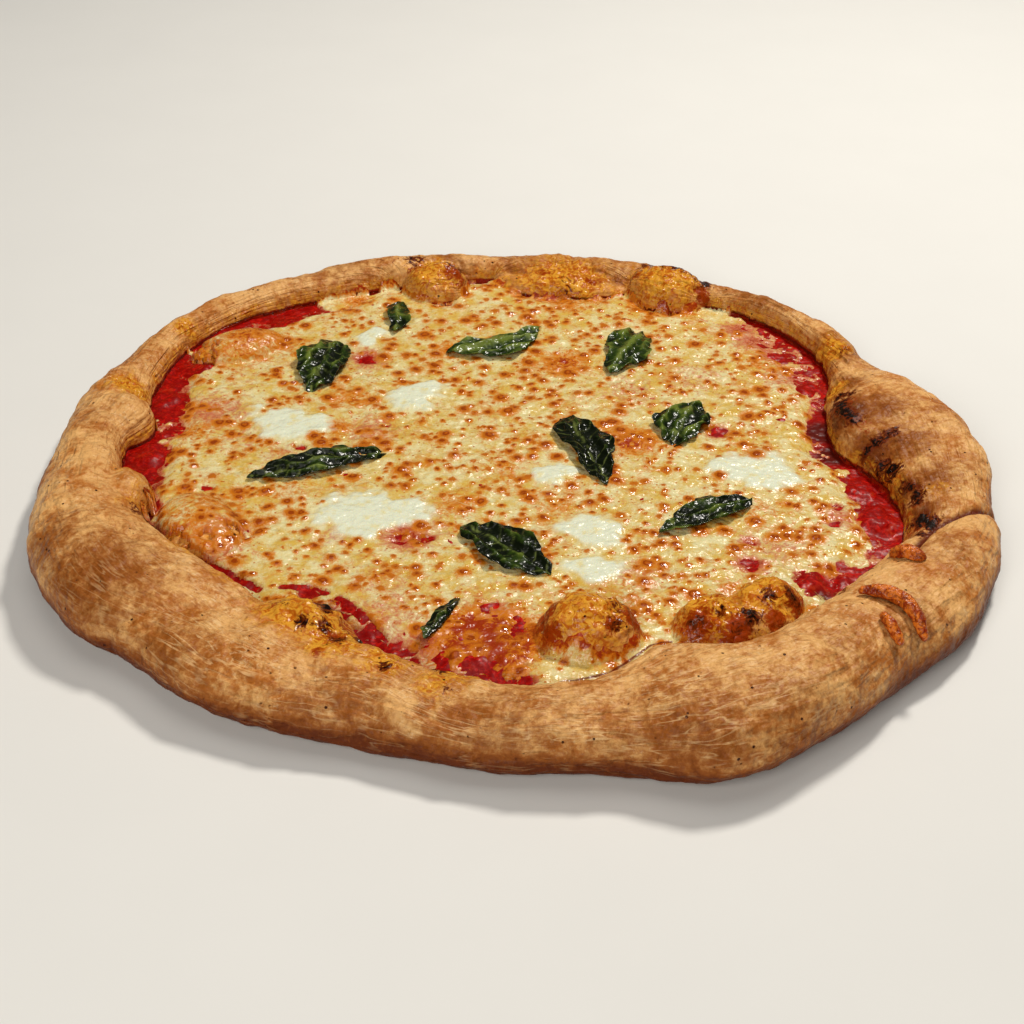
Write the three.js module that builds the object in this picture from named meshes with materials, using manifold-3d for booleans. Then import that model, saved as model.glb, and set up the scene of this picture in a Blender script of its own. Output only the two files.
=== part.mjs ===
// A margherita pizza about 384 mm across. A fat, uneven, hand-stretched rim surrounds thin sauce
// and a melted sheet of cheese, with white pools of fresh mozzarella and wilted basil leaves on it.
import * as THREE from "three";
import { mergeVertices } from "three/addons/utils/BufferGeometryUtils.js";
import Module from "manifold-3d";

const wasm = await Module();
wasm.setup();

// Sizes are in millimetres. Bearings are in degrees, anticlockwise from +X, so the front is at 270.
// Places are given from the middle of the topping, and at the end the whole moves to its own middle.
const BASE_THICKNESS = 5;
const SAUCE_THICKNESS = 2;
const CHEESE_THICKNESS = 2.6;
const GAP = 0.35;
const SAUCE_BOTTOM = BASE_THICKNESS + GAP;
const SAUCE_TOP = SAUCE_BOTTOM + SAUCE_THICKNESS;
const CHEESE_BOTTOM = SAUCE_TOP + GAP;
const CHEESE_TOP = CHEESE_BOTTOM + CHEESE_THICKNESS;
const CHEESE_SWELL = 0.5;
const AROUND = 120;

// The rim's section: how high its widest point is, as a share of its height, and how square it is.
const WAIST = 0.38;
const SQUARENESS = 2.25;
const SECTION_STEPS = 15;
const RIM_LUMPS = 0.9;

// The rim by bearing: outer radius, width, height, and the bare sauce between it and the cheese.
// The crest is halfway across the width, or at the given share of it from the outside.
const RIM = [
  { at: 0, out: 197, wide: 47, high: 26, bare: 12, crest: 0.36 },
  { at: 10, out: 191, wide: 54, high: 28, bare: 7, crest: 0.3 },
  { at: 22, out: 188, wide: 42, high: 26, bare: 6, crest: 0.36 },
  { at: 34, out: 189, wide: 21, high: 21, bare: 15 },
  { at: 48, out: 192, wide: 14, high: 18, bare: 13 },
  { at: 66, out: 192, wide: 17, high: 17, bare: 2 },
  { at: 88, out: 193, wide: 18, high: 18, bare: 1 },
  { at: 105, out: 190, wide: 18, high: 20, bare: 1 },
  { at: 120, out: 195, wide: 22, high: 19, bare: 7 },
  { at: 138, out: 192, wide: 14, high: 19, bare: 11 },
  { at: 152, out: 190, wide: 17, high: 20, bare: 10 },
  { at: 166, out: 188, wide: 26, high: 23, bare: 15 },
  { at: 180, out: 188, wide: 29, high: 24, bare: 14 },
  { at: 197, out: 194, wide: 45, high: 27, bare: 2 },
  { at: 214, out: 194, wide: 56, high: 30, bare: 2, crest: 0.45 },
  { at: 226, out: 185, wide: 52, high: 29, bare: 1 },
  { at: 240, out: 181, wide: 47, high: 25, bare: 10 },
  { at: 254, out: 175, wide: 40, high: 24, bare: 13 },
  { at: 270, out: 178, wide: 36, high: 23, bare: 5 },
  { at: 282, out: 184, wide: 41, high: 27, bare: 1 },
  { at: 291, out: 196, wide: 62, high: 33, bare: 1 },
  { at: 303, out: 193, wide: 44, high: 34, bare: 1 },
  { at: 318, out: 191, wide: 42, high: 30, bare: 3 },
  { at: 333, out: 196, wide: 45, high: 26, bare: 10 },
  { at: 346, out: 197, wide: 38, high: 25, bare: 11, crest: 0.4 },
];

// Folds in the rim: where each starts underneath, how far it drifts round by the inside, and its size.
const FOLDS = [
  { at: 365, drift: -25, width: 4.5, depth: 5 },
  { at: 34, drift: -11, width: 4.5, depth: 4 },
  { at: 219, drift: 13, width: 4.5, depth: 3 },
  { at: 284, drift: 3, width: 5, depth: 2.5 },
];

// Blisters of dough that stand up beside the rim: middle, half-sizes, height of the top, and turn.
const BLISTERS = [
  { x: 29, y: -108, long: 20, wide: 16, top: 26, turn: 0 },
  { x: 73, y: -101, long: 15, wide: 12, top: 22, turn: 20 },
  { x: 94, y: -90, long: 17, wide: 12, top: 22, turn: 32 },
  { x: 88, y: -101, long: 22, wide: 10, top: 20, turn: 28 },
  { x: -72, y: -117, long: 22, wide: 16, top: 27, turn: -30 },
  { x: -120, y: -46, long: 27, wide: 17, top: 16, turn: -62 },
  { x: -162, y: 25, long: 14, wide: 12, top: 25, turn: 70 },
  { x: -151, y: -31, long: 14, wide: 11, top: 25, turn: 100 },
  { x: -39, y: 160, long: 17, wide: 14, top: 23, turn: 10 },
  { x: 72, y: 160, long: 21, wide: 16, top: 24, turn: -20 },
  { x: 20, y: 167, long: 36, wide: 12, top: 17, turn: -3 },
  { x: -125, y: 97, long: 24, wide: 14, top: 16, turn: 30 },
];

// Pools of fresh mozzarella: middle, half-sizes and turn.
const POOLS = [
  { x: -94, y: 32, long: 16, wide: 13, turn: -15 },
  { x: -43, y: 57, long: 13, wide: 10, turn: 40 },
  { x: -55, y: -34, long: 21, wide: 14, turn: 12 },
  { x: -67, y: 108, long: 8, wide: 5, turn: 75 },
  { x: 101, y: 4, long: 17, wide: 13, turn: -20 },
  { x: 32, y: -42, long: 13, wide: 10, turn: -10 },
  { x: 32, y: -68, long: 10, wide: 8, turn: 5 },
  { x: 16, y: -3, long: 9, wide: 7, turn: 20 },
];
const POOL_RISE = 1.5;

// Basil leaves: middle, length, width, heading from stem to tip, where along it each is widest, how far
// its midrib bends to the left, and how much it crumples.
const LEAVES = [
  { x: -56, y: 128, length: 31, width: 10, heading: -88, widest: 0.45, bend: 1, crumple: 2.4 },
  { x: -87, y: 81, length: 47, width: 23, heading: 84, widest: 0.55, bend: -2, crumple: 3.2 },
  { x: -10, y: 109, length: 50, width: 17, heading: 31, widest: 0.45, bend: -9, crumple: 2.2 },
  { x: 49, y: 101, length: 46, width: 22, heading: 72, widest: 0.6, bend: -2, crumple: 2.6 },
  { x: 30, y: 16, length: 53, width: 20, heading: -72, widest: 0.36, bend: 2, crumple: 3.0 },
  { x: 74, y: 38, length: 37, width: 21, heading: 70, widest: 0.5, bend: 3, crumple: 3.0 },
  { x: -79, y: -1, length: 60, width: 16, heading: 23, widest: 0.52, bend: 1, crumple: 1.8 },
  { x: 77, y: -31, length: 47, width: 16, heading: 34, widest: 0.58, bend: 2, crumple: 1.8 },
  { x: -2, y: -57, length: 46, width: 23, heading: -42, widest: 0.48, bend: 1, crumple: 2.8 },
  { x: -24, y: -101, length: 28, width: 6, heading: 65, widest: 0.5, bend: 1, crumple: 1.8 },
];
const LEAF_THICKNESS = 0.8;
const LEAF_ALONG = 10;
const LEAF_ACROSS = 4;

// Drips of browned cheese on the front-right rim: how thick each rod is, and the places it bends through.
const DRIPS = [
  { thickness: 8, through: [[142, -71], [147, -75], [152, -78]] },
  { thickness: 6.5, through: [[125, -101], [132, -103], [139, -106], [143, -113], [146, -120]] },
  { thickness: 5, through: [[130, -117], [133, -122], [136, -127]] },
];

const radians = THREE.MathUtils.degToRad;

// One line of the rim's table at any bearing, by a smooth curve that runs round and closes.
const stations = [-1, 0, 1].flatMap((turn) => RIM.map((row) => ({ ...row, at: row.at + 360 * turn })));
const rimCurve = new THREE.CubicInterpolant(
  stations.map((row) => row.at),
  stations.flatMap((row) => [row.out, row.wide, row.high, row.bare, row.crest ?? 0.5]),
  5,
);

function rimAt(bearing) {
  const [out, wide, high, bare, crest] = rimCurve.evaluate(THREE.MathUtils.euclideanModulo(bearing, 360));
  return { out, wide, high, bare: Math.max(bare, 0), top: out - crest * wide, foot: out - wide };
}

function bearingOf(step) {
  return (360 * step) / AROUND;
}

function polar(bearing, radius, z) {
  const angle = radians(bearing);
  return new THREE.Vector3(radius * Math.cos(angle), radius * Math.sin(angle), z);
}

// A root of a cosine or sine that makes a circle squarer and keeps its sign.
function squarer(value) {
  return Math.sign(value) * Math.abs(value) ** (2 / SQUARENESS);
}

// Soft lumps and the folds, as a push along the section's own direction at one angle round it.
function relief(bearing, angle) {
  const share = (angle + 90) / 270;
  const fade = Math.sin(Math.PI * share) ** 0.8;
  const lumps = Math.sin(radians(5 * bearing + 2 * angle)) + Math.sin(radians(11 * bearing - angle + 40))
    + 0.6 * Math.sin(radians(23 * bearing + 3 * angle + 100));
  let push = RIM_LUMPS * lumps;
  for (const fold of FOLDS) {
    const middle = fold.at + fold.drift * share;
    const away = THREE.MathUtils.euclideanModulo(bearing - middle + 180, 360) - 180;
    push -= fold.depth * Math.exp(-((away / fold.width) ** 2));
  }
  return push * fade;
}

// A point of the rim's skin: angle -90 is under it, 0 outside, 90 on the crest and 180 inside.
function rimPoint(bearing, angle) {
  const { out, top, foot, high } = rimAt(bearing);
  const waist = WAIST * high;
  const side = squarer(Math.cos(radians(angle)));
  const lift = squarer(Math.sin(radians(angle)));
  const push = relief(bearing, angle);
  const reach = side > 0 ? out - top : top - foot;
  const radius = top + (reach + push) * side;
  const height = waist + (lift > 0 ? (high - waist + push) * lift : waist * lift);
  return polar(bearing, radius, Math.max(height, 0));
}

// The height of the rim's skin above a place on its upper side.
function rimHeight(x, y) {
  const bearing = THREE.MathUtils.radToDeg(Math.atan2(y, x));
  const { out, top, foot, high } = rimAt(bearing);
  const away = Math.hypot(x, y) - top;
  const across = Math.min(away > 0 ? away / (out - top) : -away / (top - foot), 1);
  return high * (WAIST + (1 - WAIST) * (1 - across ** SQUARENESS) ** (1 / SQUARENESS));
}

function cheeseHeight(x, y) {
  const swell = Math.sin(x / 17 + 1) * Math.cos(y / 21) + 0.7 * Math.sin((x + y) / 12 + 2);
  return CHEESE_TOP + CHEESE_SWELL * swell;
}

function geometryOf(points, triangles) {
  const geometry = new THREE.BufferGeometry().setFromPoints(points);
  geometry.setIndex(triangles.flat());
  return geometry;
}

// A closed body through rings of points, with a fan to a point below the first and above the last.
function loft(first, rings, last) {
  const count = rings[0].length;
  const points = [first, ...rings.flat(), last];
  const end = points.length - 1;
  const triangles = [];
  for (let i = 0; i < count; i++) {
    const j = (i + 1) % count;
    triangles.push([0, 1 + j, 1 + i]);
    for (let k = 0; k + 1 < rings.length; k++) {
      const low = 1 + k * count;
      const high = low + count;
      triangles.push([low + i, low + j, high + j], [low + i, high + j, high + i]);
    }
    triangles.push([end - count + i, end - count + j, end]);
  }
  return geometryOf(points, triangles);
}

function toSolid(geometry) {
  const bare = new THREE.BufferGeometry().setAttribute("position", geometry.getAttribute("position"));
  bare.setIndex(geometry.getIndex());
  const merged = mergeVertices(bare, 1e-3);
  return new wasm.Manifold(new wasm.Mesh({
    numProp: 3,
    vertProperties: merged.getAttribute("position").array,
    triVerts: new Uint32Array(merged.getIndex().array),
  }));
}

// The largest body of a solid, as geometry: a cut can leave scraps beside it.
function toGeometry(solid) {
  const bodies = solid.decompose().sort((a, b) => b.volume() - a.volume());
  const mesh = bodies[0].getMesh();
  const geometry = new THREE.BufferGeometry();
  geometry.setAttribute("position", new THREE.BufferAttribute(mesh.vertProperties, 3));
  geometry.setIndex(new THREE.BufferAttribute(mesh.triVerts, 1));
  return geometry;
}

function ringOf(point) {
  return Array.from({ length: AROUND }, (_, step) => point(bearingOf(step)));
}

function rimBody() {
  const rings = [];
  for (let step = 0; step <= SECTION_STEPS; step++) {
    const angle = -90 + (270 * step) / SECTION_STEPS;
    rings.push(ringOf((bearing) => rimPoint(bearing, angle)));
  }
  rings.push(ringOf((bearing) => polar(bearing, rimAt(bearing).foot, BASE_THICKNESS)));
  return loft(new THREE.Vector3(), rings, new THREE.Vector3(0, 0, BASE_THICKNESS));
}

// A blister is an egg with its lower half in the dough. Growth makes the room for it in the topping.
function blister({ x, y, long, wide, top, turn }, growth) {
  const middle = 0.35 * top;
  const egg = new THREE.SphereGeometry(1, 16, 10);
  egg.rotateX(Math.PI / 2);
  egg.scale(long + growth, wide + growth, top - middle + growth);
  egg.rotateZ(radians(turn));
  egg.translate(x, y, middle);
  const solid = toSolid(egg);
  return solid.trimByPlane([0, 0, 1], BASE_THICKNESS / 2 - growth);
}

function withoutBlisters(geometry) {
  return toGeometry(BLISTERS.reduce((left, row) => left.subtract(blister(row, GAP)), toSolid(geometry)));
}

function crust() {
  return toGeometry(BLISTERS.reduce((whole, row) => whole.add(blister(row, 0)), toSolid(rimBody())));
}

function sauce() {
  const edge = (z) => ringOf((bearing) => polar(bearing, rimAt(bearing).foot - GAP, z));
  const disc = loft(
    new THREE.Vector3(0, 0, SAUCE_BOTTOM),
    [edge(SAUCE_BOTTOM), edge(SAUCE_TOP)],
    new THREE.Vector3(0, 0, SAUCE_TOP),
  );
  return withoutBlisters(disc);
}

function cheeseEdge(bearing) {
  const { foot, bare } = rimAt(bearing);
  const frill = bare > 2 ? 1.6 * Math.sin(radians(17 * bearing)) + 1.2 * Math.sin(radians(29 * bearing + 50)) : 0;
  return foot - GAP - bare + Math.min(frill, bare - 0.5);
}

function cheese() {
  const shares = [1, 0.985, 0.9, 0.78, 0.62, 0.44, 0.22];
  const rings = shares.map((share) => ringOf((bearing) => {
    const point = polar(bearing, cheeseEdge(bearing) * share, 0);
    const drop = share === 1 ? 0.5 * CHEESE_THICKNESS : 0;
    return point.setZ(cheeseHeight(point.x, point.y) - drop);
  }));
  rings.unshift(ringOf((bearing) => polar(bearing, cheeseEdge(bearing), CHEESE_BOTTOM)));
  const sheet = loft(
    new THREE.Vector3(0, 0, CHEESE_BOTTOM),
    rings,
    new THREE.Vector3(0, 0, cheeseHeight(0, 0)),
  );
  return withoutBlisters(sheet);
}

// A low soft pool with a wavy edge, lying just over the cheese.
function pool({ x, y, long, wide, turn }, order) {
  const sides = 18;
  const ring = (share, rise) => Array.from({ length: sides }, (_, step) => {
    const angle = (2 * Math.PI * step) / sides;
    const wave = 1 + 0.13 * Math.sin(3 * angle + order) + 0.08 * Math.sin(5 * angle + 2 * order);
    const along = long * wave * share * Math.cos(angle);
    const across = wide * wave * share * Math.sin(angle);
    const way = radians(turn);
    const px = x + along * Math.cos(way) - across * Math.sin(way);
    const py = y + along * Math.sin(way) + across * Math.cos(way);
    return new THREE.Vector3(px, py, cheeseHeight(px, py) + GAP + rise);
  });
  const middle = (rise) => new THREE.Vector3(x, y, cheeseHeight(x, y) + GAP + rise);
  return loft(middle(0), [ring(0.55, 0), ring(1, 0), ring(0.8, 0.8 * POOL_RISE)], middle(POOL_RISE));
}

// A wilted leaf: a thin slab, pointed at both ends, with a ragged edge, folded along its middle and rippled.
function leaf({ x, y, length, width, heading, widest, bend, crumple }, order) {
  const way = radians(heading);
  const place = (i, j, rise) => {
    const along = i / LEAF_ALONG;
    const across = (2 * j) / LEAF_ACROSS - 1;
    const side = Math.sign(across);
    const ragged = 1 + 0.15 * Math.sin(9 * along + 1.3 * side + 2 * order)
      + 0.11 * Math.sin(17 * along + 2.1 * side + order);
    const swell = Math.sin(Math.PI * along ** (Math.log(0.5) / Math.log(widest)));
    const half = 0.35 + (width / 2) * ragged * swell ** 0.65;
    const u = (along - 0.5) * length;
    const v = half * across + bend * Math.sin(Math.PI * along);
    const px = x + u * Math.cos(way) - v * Math.sin(way);
    const py = y + u * Math.sin(way) + v * Math.cos(way);
    const ripple = 0.5 + 0.5 * Math.sin(7 * along + 2.4 * across + 1.7 * order);
    const curl = Math.abs(across) * Math.sin(Math.PI * along);
    const lift = crumple * (0.55 * ripple * Math.sin(Math.PI * along) + 0.45 * curl);
    return new THREE.Vector3(px, py, cheeseHeight(px, py) + 2 * GAP + lift + rise);
  };
  return slab(LEAF_ALONG, LEAF_ACROSS, (i, j) => place(i, j, 0), (i, j) => place(i, j, LEAF_THICKNESS));
}

// A slab with the same grid of triangles on both faces and a wall round them.
function slab(along, across, under, over) {
  const points = [];
  for (const face of [under, over]) {
    for (let i = 0; i <= along; i++) {
      for (let j = 0; j <= across; j++) points.push(face(i, j));
    }
  }
  const index = (face, i, j) => (face * (along + 1) + i) * (across + 1) + j;
  const triangles = [];
  const quad = (a, b, c, d) => triangles.push([a, b, c], [a, c, d]);
  for (let i = 0; i < along; i++) {
    for (let j = 0; j < across; j++) {
      quad(index(1, i, j), index(1, i + 1, j), index(1, i + 1, j + 1), index(1, i, j + 1));
      triangles.push([index(0, i, j), index(0, i + 1, j + 1), index(0, i + 1, j)]);
      triangles.push([index(0, i, j), index(0, i, j + 1), index(0, i + 1, j + 1)]);
    }
    quad(index(0, i, 0), index(0, i + 1, 0), index(1, i + 1, 0), index(1, i, 0));
    quad(index(0, i + 1, across), index(0, i, across), index(1, i, across), index(1, i + 1, across));
  }
  for (let j = 0; j < across; j++) {
    quad(index(0, 0, j + 1), index(0, 0, j), index(1, 0, j), index(1, 0, j + 1));
    quad(index(0, along, j), index(0, along, j + 1), index(1, along, j + 1), index(1, along, j));
  }
  return geometryOf(points, triangles);
}

// A drip is a rod bent over the rim, cut by the dough under it and then lifted clear.
function drip({ thickness, through }, dough) {
  const half = thickness / 2;
  const route = new THREE.CatmullRomCurve3(
    through.map(([x, y]) => new THREE.Vector3(x, y, rimHeight(x, y) + 0.3 * half)),
  );
  const steps = 5;
  const sides = 7;
  const rings = Array.from({ length: steps + 1 }, (_, step) => {
    const share = step / steps;
    const middle = route.getPoint(share);
    const ahead = route.getTangent(share);
    const side = new THREE.Vector3().crossVectors(ahead, new THREE.Vector3(0, 0, 1)).normalize();
    const up = new THREE.Vector3().crossVectors(side, ahead);
    const radius = half * (0.55 + 0.45 * Math.sin(Math.PI * share));
    return Array.from({ length: sides }, (_, turn) => {
      const angle = (2 * Math.PI * turn) / sides;
      return middle.clone()
        .addScaledVector(side, radius * Math.cos(angle))
        .addScaledVector(up, -radius * Math.sin(angle));
    });
  });
  const start = route.getPoint(0).addScaledVector(route.getTangent(0), -0.4 * half);
  const end = route.getPoint(1).addScaledVector(route.getTangent(1), 0.4 * half);
  const cut = toSolid(loft(start, rings, end)).subtract(dough);
  return toGeometry(cut.translate([0.2 * GAP, -0.2 * GAP, GAP]));
}

function material(color, roughness) {
  return new THREE.MeshStandardMaterial({ color, roughness, metalness: 0 });
}

const pizza = new THREE.Group();

function addPiece(name, geometry, color, roughness) {
  const mesh = new THREE.Mesh(geometry, material(color, roughness));
  mesh.name = name;
  pizza.add(mesh);
  return mesh;
}

const crustMesh = addPiece("crust", crust(), 0xc8935a, 0.7);
const dough = toSolid(crustMesh.geometry);
addPiece("sauce", sauce(), 0xa51410, 0.35);
addPiece("cheese", cheese(), 0xe6cf94, 0.4);
POOLS.forEach((row, order) => addPiece(`fresh_mozzarella_${order + 1}`, pool(row, order), 0xeef0e2, 0.35));
LEAVES.forEach((row, order) => addPiece(`basil_${order + 1}`, leaf(row, order), 0x1c3a14, 0.4));
DRIPS.forEach((row, order) => addPiece(`browned_cheese_${order + 1}`, drip(row, dough), 0xb8601c, 0.35));

// The origin goes under the middle of the crust, which is the widest piece.
crustMesh.geometry.computeBoundingBox();
const middle = crustMesh.geometry.boundingBox.getCenter(new THREE.Vector3());
pizza.position.set(-middle.x, -middle.y, 0);

export default pizza;
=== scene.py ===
"""Looks of a margherita pizza over its frame: baked dough, sauce, melted cheese, basil, light and camera."""

import itertools
import math

import bmesh
import bpy
import numpy as np
from mathutils import Euler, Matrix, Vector
from mathutils.bvhtree import BVHTree


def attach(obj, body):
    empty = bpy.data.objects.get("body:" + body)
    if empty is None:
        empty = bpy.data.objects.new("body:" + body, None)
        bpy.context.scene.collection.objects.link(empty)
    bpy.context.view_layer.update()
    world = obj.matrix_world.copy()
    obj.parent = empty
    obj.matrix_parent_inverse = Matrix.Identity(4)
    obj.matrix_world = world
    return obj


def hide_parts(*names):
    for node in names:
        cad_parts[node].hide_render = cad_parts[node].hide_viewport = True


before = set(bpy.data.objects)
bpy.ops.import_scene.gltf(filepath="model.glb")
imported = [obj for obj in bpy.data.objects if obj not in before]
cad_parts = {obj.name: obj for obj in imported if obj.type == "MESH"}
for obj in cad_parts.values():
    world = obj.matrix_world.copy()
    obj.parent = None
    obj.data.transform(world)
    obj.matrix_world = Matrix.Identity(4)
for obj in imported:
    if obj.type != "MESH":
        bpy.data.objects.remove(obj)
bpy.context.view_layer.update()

# Sizes are in millimetres here, and MM turns them into the metres of the scene.
MM = 0.001
# Where the middle of the topping is in the frame. Places and bearings below are given from there.
TOPPING_MIDDLE = np.array([-3.9, -5.3])
# Heights of the dough's base, of the bare sauce, of the sauce under whole cheese, and of the cheese's edge.
BASE_TOP = 5.0
BARE_LEVEL = 7.7
FULL_LEVEL = 9.6
CHEESE_STEP = 1.9

# How fine each skin is, how far the sheets run under the rim, and how far out their grid goes.
SKIN_CELL = 1.2
SKIN_SMOOTHING = 19
CHEESE_CELL = 0.9
SAUCE_CELL = 1.3
DRIP_CELL = 0.4
LEAF_LEVELS = 3
SHEET_MARGIN = 2.5
GRID_REACH = 176
# How many places are tried for the brown blisters of the cheese, and how far out.
SPOT_TRIES = 7200
SPOT_REACH = 165
# The middle line of the rim and the radius of its section, for wrinkles that flow along and round it.
RIM_RADIUS = 172
RIM_HEIGHT = 9
SECTION_RADIUS = 17
# Where the long wrinkles are strongest, and where the cheese meets the rim in a seam darkened with painted
# shade.
WRINKLED_BEARING = 262
SEAM_BEARING = 290

# The camera, as fitted to the photograph: where it stands, how far down it looks, its roll and its lens.
CAMERA_PLACE = (-3.5, -623.7, 409.4)
CAMERA_DOWN = 34.15
CAMERA_ROLL = 1.52
CAMERA_LENS = 63.28
CAMERA_SENSOR = 36

# Colours as they are seen, from 0 to 255. First the dough, from flour to char.
DOUGH_FLOUR = (242, 206, 156)
DOUGH_LINE = (244, 204, 146)
DOUGH_PALE = (228, 173, 106)
DOUGH = (184, 108, 40)
DOUGH_BROWN = (146, 80, 26)
# Dark dough, for deep browning and for the painted shade low on the rim's outer face.
DOUGH_DARK = (98, 42, 10)
DOUGH_SPECK = (70, 24, 6)
# Painted shade for the creases and seams of the dough.
DOUGH_CREASE_SHADE = (98, 34, 6)
DOUGH_STAIN = (140, 30, 4)
GOLD_LIGHT = (222, 156, 48)
GOLD_DEEP = (184, 92, 12)
SCALD = (150, 54, 4)
SCALD_DARK = (76, 24, 2)
CHAR_BROWN = (104, 38, 4)
CHAR = (22, 8, 3)
# The cheese, its oil and its blisters.
MILK = (224, 226, 200)
CREAM = (225, 213, 160)
BUTTER = (212, 174, 78)
TAN = (204, 126, 40)
PINK = (196, 110, 76)
SAUCE_THROUGH = (150, 24, 6)
AMBER = (206, 118, 22)
OIL_DARK = (156, 46, 4)
SPOT_RING = (190, 104, 22)
TOAST = (148, 60, 4)
# The lighter middle of the blisters, a painted highlight on their glossy tops.
SPOT_MIDDLE_HIGHLIGHT = (180, 88, 10)
DOT = (186, 98, 16)
CHEESE_SCALD = (150, 54, 6)
CHEESE_CHAR = (92, 28, 2)
# Painted shade for the seam at the rim and for the creases.
CHEESE_CREASE_SHADE = (110, 32, 4)
# The sauce, the leaves, the drips and the floor.
TOMATO = (134, 2, 0)
TOMATO_LIGHT = (200, 24, 12)
TOMATO_ORANGE = (176, 44, 16)
# Dark red for scorching, and for painted shade where the rim overhangs the sauce.
TOMATO_SCORCH_AND_SHADE = (84, 10, 2)
LEAF = (40, 58, 10)
LEAF_DARK = (10, 16, 2)
# Lighter green, partly tone and partly painted light on the tops of the folds.
LEAF_CREST_LIGHT = (104, 118, 44)
LEAF_VEIN = (110, 120, 60)
DRIP_LIGHT = (220, 118, 34)
DRIP_DARK = (140, 40, 2)
DRIP_STRIPE = (104, 26, 2)
FLOOR = (230, 228, 224)
FLOOR_SHADE = (226, 224, 220)

# How much lighter, or darker, some of the leaves are than the rest.
LEAF_PALENESS = {
    "basil_1": 0.15, "basil_3": 0.35, "basil_4": 0.25, "basil_5": -0.35, "basil_6": 0.15, "basil_7": -0.05,
}

# Marks on the dough, each given as its place, its size and its strength. First where it is charred.
CHARRED = [
    (148, 92, 6, 0.5), (160, -24, 5, 0.8), (162, -44, 6, 0.9), (156, -52, 5, 0.7), (142, 30, 6, 0.6),
    (152, 14, 5, 0.6), (120, -78, 6, 0.8), (102, -92, 5, 0.7), (87, -104, 5, 0.9), (76, -104, 4, 0.7),
    (94, -95, 4, 0.8), (66, -109, 4, 0.6), (-79, -113, 4, 0.6), (-72, -123, 4, 0.7), (-64, -124, 4, 0.7),
    (-59, -130, 4, 0.8), (38, -115, 5, 0.6), (80, 168, 9, 0.9), (66, 172, 9, 0.8), (90, 160, 7, 0.8),
    (-30, 166, 8, 0.7), (-50, 172, 8, 0.6), (-22, -138, 5, 0.7), (-8, -139, 5, 0.7), (-38, -132, 5, 0.7),
    (-41, -145, 3.5, 0.6), (-20, -155, 3.5, 0.6), (-52, -124, 5, 0.7), (-64, -112, 5, 0.9),
    (-72, -104, 6, 0.5), (40, -104, 7, 0.5), (38, -92, 6, 0.4), (-140, -50, 8, 0.7), (22, 158, 7, 0.4),
]
# Blisters of golden dough.
GOLDEN = [
    (29, -108, 22, 1.0), (73, -101, 20, 1.0), (94, -90, 20, 1.0), (-72, -112, 24, 1.0),
    (-60, -128, 18, 1.0), (-122, -38, 30, 1.0), (-39, 160, 20, 1.0), (72, 160, 26, 1.0),
    (-120, 100, 26, 1.0), (22, 163, 34, 0.9), (-164, 44, 14, 0.9), (-150, -22, 12, 0.6), (142, 96, 14, 0.9),
    (150, -6, 12, 0.8), (-15, -140, 18, 0.8), (-150, 100, 10, 0.8), (136, 62, 12, 0.9),
    (-120, -74, 14, 0.7), (-100, -92, 14, 0.6), (-42, -140, 14, 0.85), (-24, -150, 13, 0.7),
    (120, -84, 12, 0.7), (104, -104, 12, 0.6), (-146, -44, 12, 0.6), (168, -22, 12, 0.5),
]
# Where the dough is browner than elsewhere. On the inner wall of the right lobe these marks are partly
# painted shade.
TOASTED_AND_SHADED = [
    (140, 34, 14, 1.2), (146, 8, 14, 1.2), (154, -16, 12, 1.1), (160, -34, 9, 1.1), (143, 62, 10, 0.9),
    (176, 26, 18, 0.3), (152, 32, 15, 0.85), (160, 8, 14, 0.85), (167, -16, 13, 0.85), (84, -96, 20, 0.7),
    (18, -112, 10, 0.8), (42, -104, 9, 0.8), (72, 172, 18, 0.7), (-34, 172, 14, 0.6), (-150, -104, 30, 0.8),
    (-170, -80, 20, 0.6), (-118, -140, 26, 0.6), (-8, -182, 34, 0.6), (60, -190, 36, 0.8),
    (100, -174, 26, 0.7), (150, -120, 26, 0.5), (180, -8, 16, 0.3), (-178, 10, 20, 0.3),
    (40, -178, 20, 0.5), (-60, -170, 24, 0.7), (165, -70, 16, 0.4), (-90, 168, 30, 0.4),
    (118, 150, 26, 0.5), (150, 96, 16, 0.6), (20, -160, 14, 0.35), (120, -140, 18, 0.4),
]
# Dark red-brown glossy places on the blisters.
SCALDED = [
    (11, -107, 9, 1.0), (14, -117, 8, 0.9), (44, -108, 7, 0.9), (36, -116, 5, 0.8), (30, -96, 6, 0.5),
    (68, -108, 8, 1.0), (82, -110, 9, 1.0), (96, -103, 7, 0.9), (104, -93, 7, 1.0), (94, -84, 6, 0.6),
    (76, -96, 6, 0.6), (-60, -128, 6, 0.9), (-65, -139, 4, 0.8), (-66, -112, 6, 0.9), (-82, -112, 6, 0.6),
    (-56, -118, 6, 0.7), (-30, 158, 8, 0.9), (-50, 164, 7, 0.7), (74, 172, 9, 0.9), (88, 152, 6, 1.0),
    (56, 164, 7, 0.7), (145, 22, 9, 0.55), (151, -6, 9, 0.6), (157, -28, 8, 0.6), (140, 42, 8, 0.8),
    (158, -44, 7, 0.8), (-134, 92, 8, 0.5), (12, 168, 8, 0.7), (36, 164, 8, 0.7), (-2, -112, 15, 0.75),
    (-12, -102, 10, 0.6), (8, -124, 8, 0.7), (-20, -120, 8, 0.6),
]
# Lines, each given as its width, its strength and the places that it runs through.
CHAR_LINES = [
    (4, 0.85, (139, 46), (140, 36), (142, 28)), (3, 0.75, (146, 12), (151, 14), (157, 16)),
    (3.6, 0.8, (151, 3), (155, -4)), (3, 0.7, (157, -14), (161, -20), (160, -27)),
    (3.8, 0.95, (159, -38), (162, -48)), (3.4, 0.75, (140, 52), (144, 49)),
    (1.6, 0.8, (116, -94), (124, -84), (134, -76)), (1.4, 0.7, (112, -100), (122, -92)),
]
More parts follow.
